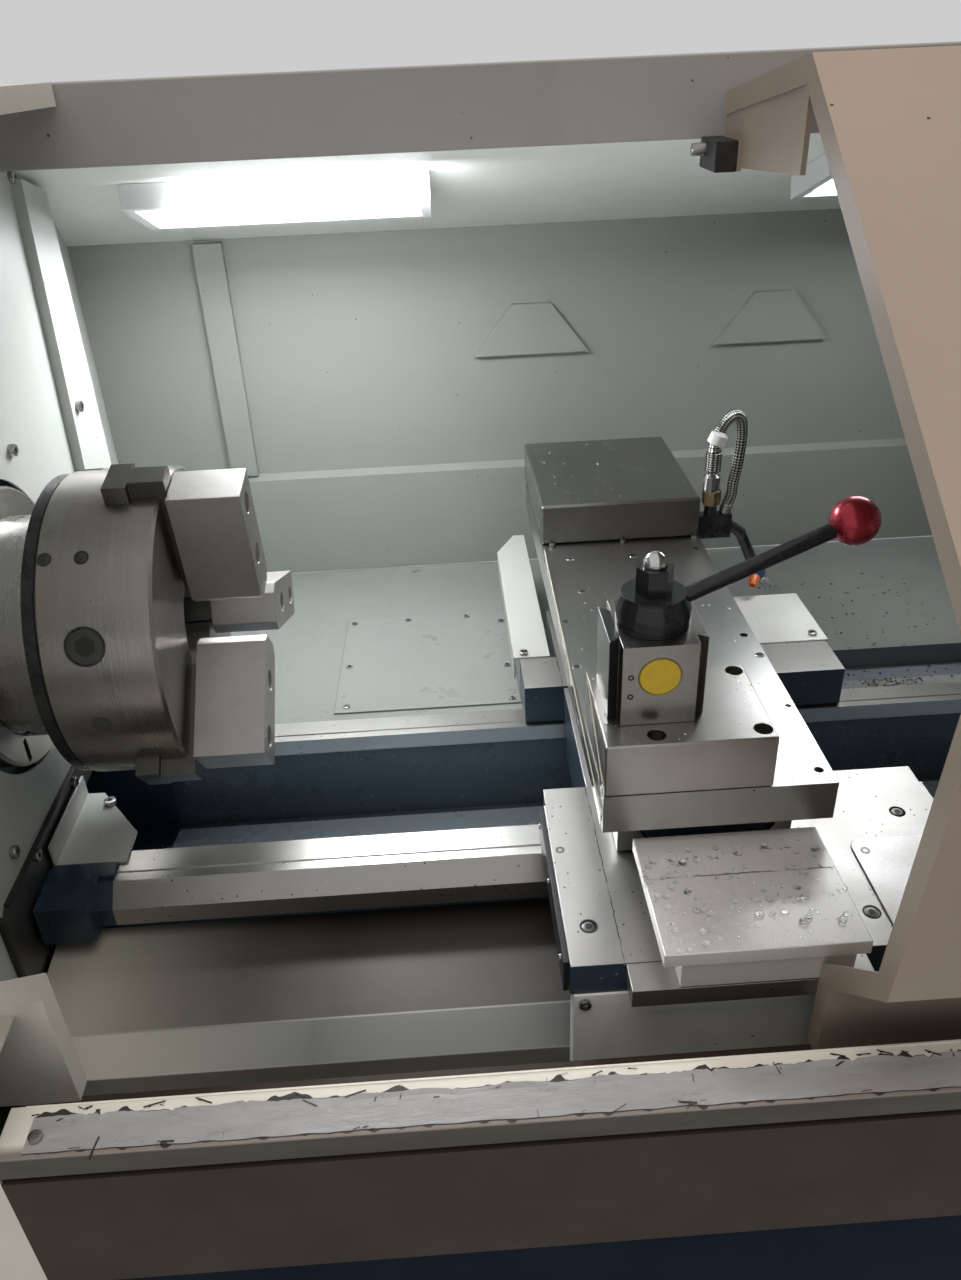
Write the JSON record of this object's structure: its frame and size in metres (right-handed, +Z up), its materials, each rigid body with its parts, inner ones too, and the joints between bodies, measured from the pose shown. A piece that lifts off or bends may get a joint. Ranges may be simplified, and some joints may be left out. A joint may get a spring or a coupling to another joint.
{
  "type": "CNC turning lathe",
  "caption": "Flat-bed CNC turning lathe in a sheet metal guard with a sliding door, a jaw chuck, a cross slide with a tool post, and a tailstock.",
  "frame": {"origin": "on the floor under the middle of the machine's bounding box", "axes": "+X along the bed from the headstock to the tailstock, +Y to the back of the machine, +Z up"},
  "size_m": [2.83, 1.3832, 1.657],
  "materials": {
    "black": "blackened steel",
    "chrome": "polished",
    "cream": "satin cream paint",
    "diffuser": "frosted",
    "glass": "clear safety glass",
    "ground_steel": "ground steel",
    "light_grey": "satin light grey-green paint",
    "navy": "satin navy paint",
    "red": "glossy red",
    "stainless": "brushed stainless sheet",
    "teal": "satin dark teal paint on cast iron",
    "white": "satin off-white paint"
  },
  "bodies": {
    "machine": {"bed": "teal", "screw_guard": "stainless", "left_pedestal": "navy", "right_pedestal": "navy", "front_rail": "stainless", "front_panel": "cream", "front_skirt": "navy", "chip_tray": "stainless", "coolant_tank": "navy", "left_cover": "cream", "left_wall": "light_grey", "bed_end_plate": "stainless", "way_end_angle": "white", "roof_beam": "cream", "ceiling_panel": "light_grey", "rear_wall": "light_grey", "rear_floor": "light_grey", "service_plate": "stainless", "lamp_left": "cream", "lamp_left_lens": "diffuser", "lamp_right": "cream", "lamp_right_lens": "diffuser", "right_cover": "cream", "headstock": "teal", "nose_ring": "ground_steel", "console": "light_grey", "cabinet": "light_grey"},
    "screw": {"ball_screw": "ground_steel"},
    "spindle_unit": {"spindle": "ground_steel", "chuck_plate": "black", "chuck_body": "ground_steel"},
    "pinion_key": {"pinion": "black"},
    "jaw_1": {"master_jaw_1": "black", "top_jaw_1": "ground_steel"},
    "jaw_2": {"master_jaw_2": "black", "top_jaw_2": "ground_steel"},
    "jaw_3": {"master_jaw_3": "black", "top_jaw_3": "ground_steel"},
    "carriage": {"saddle": "teal", "apron": "white", "front_plate": "ground_steel", "saddle_cover_left": "white", "saddle_cover_right": "white"},
    "slide": {"cross_slide": "ground_steel", "riser_block": "ground_steel", "slide_box": "stainless", "tool_post": "ground_steel", "post_stud": "black", "hose_bracket": "black", "coolant_hose": "stainless"},
    "clamp_handle": {"cam_nut": "black", "handle_bar": "black", "handle_knob": "red"},
    "tail_unit": {"tailstock": "teal"},
    "tail_quill": {"quill": "ground_steel"},
    "tail_handwheel": {"tail_wheel": "chrome"},
    "door_unit": {"door": "cream", "door_window": "glass"},
    "stop": {"stop_button": "red"},
    "cabinet_hatch": {"cabinet_door": "light_grey"}
  },
  "joints": [
    {"name": "spindle_spin", "type": "hinge", "parent": "machine", "child": "spindle_unit", "pos_m": [-0.465, -0.178, 1.18], "axis": [1, 0, 0], "continuous": true},
    {"name": "jaw_1_slide", "type": "slide", "parent": "spindle_unit", "child": "jaw_1", "axis": [0, -0.1668, 0.986], "range_m": [-0.012, 0.02]},
    {"name": "jaw_2_slide", "type": "slide", "parent": "spindle_unit", "child": "jaw_2", "axis": [0, 0.9373, -0.3486], "range_m": [-0.0121, 0.0201]},
    {"name": "jaw_3_slide", "type": "slide", "parent": "spindle_unit", "child": "jaw_3", "axis": [0, -0.7705, -0.6374], "range_m": [-0.0121, 0.0201]},
    {"name": "pinion_turn", "type": "hinge", "parent": "spindle_unit", "child": "pinion_key", "pos_m": [-0.476, -0.31953, 1.23263], "axis": [0, -0.9373, 0.3486], "range_deg": [-1970, 3280]},
    {"name": "carriage_slide", "type": "slide", "parent": "machine", "child": "carriage", "axis": [1, 0, 0], "range_m": [-0.26, 0.25]},
    {"name": "screw_turn", "type": "hinge", "parent": "machine", "child": "screw", "pos_m": [0.185, -0.378, 0.785], "axis": [1, 0, 0], "range_deg": [-9400, 9100]},
    {"name": "cross_slide_feed", "type": "slide", "parent": "carriage", "child": "slide", "axis": [0, 1, 0], "range_m": [-0.015, 0.13]},
    {"name": "handle_swing", "type": "hinge", "parent": "slide", "child": "clamp_handle", "pos_m": [0.026, -0.311, 1.23], "axis": [0, 0, 1], "range_deg": [-60, 30]},
    {"name": "tailstock_slide", "type": "slide", "parent": "machine", "child": "tail_unit", "axis": [1, 0, 0], "range_m": [-0.12, 0.05]},
    {"name": "quill_feed", "type": "slide", "parent": "tail_unit", "child": "tail_quill", "axis": [1, 0, 0], "range_m": [-0.06, 0]},
    {"name": "handwheel_turn", "type": "hinge", "parent": "tail_unit", "child": "tail_handwheel", "pos_m": [1.0405, -0.178, 1.18], "axis": [1, 0, 0], "range_deg": [-4400, 60]},
    {"name": "door_slide", "type": "slide", "parent": "machine", "child": "door_unit", "axis": [1, 0, 0], "range_m": [-0.636, 0.02]},
    {"name": "stop_press", "type": "slide", "parent": "machine", "child": "stop", "axis": [0, 1, 0], "range_m": [0, 0.005], "stiffness_N_per_m": 900, "springref_m": -0.002},
    {"name": "cabinet_door_swing", "type": "hinge", "parent": "machine", "child": "cabinet_hatch", "pos_m": [-1.4, 0.692, 1.03], "axis": [0, 0, 1], "range_deg": [0, 110]}
  ],
  "couplings": [
    {"joint": "jaw_2_slide", "follows": "jaw_1_slide", "ratio": 1},
    {"joint": "jaw_3_slide", "follows": "jaw_1_slide", "ratio": 1},
    {"joint": "pinion_turn", "follows": "jaw_1_slide", "rad_per_m": 2856},
    {"joint": "screw_turn", "follows": "carriage_slide", "rad_per_m": 628.32},
    {"joint": "handwheel_turn", "follows": "quill_feed", "rad_per_m": 1256.6}
  ]
}
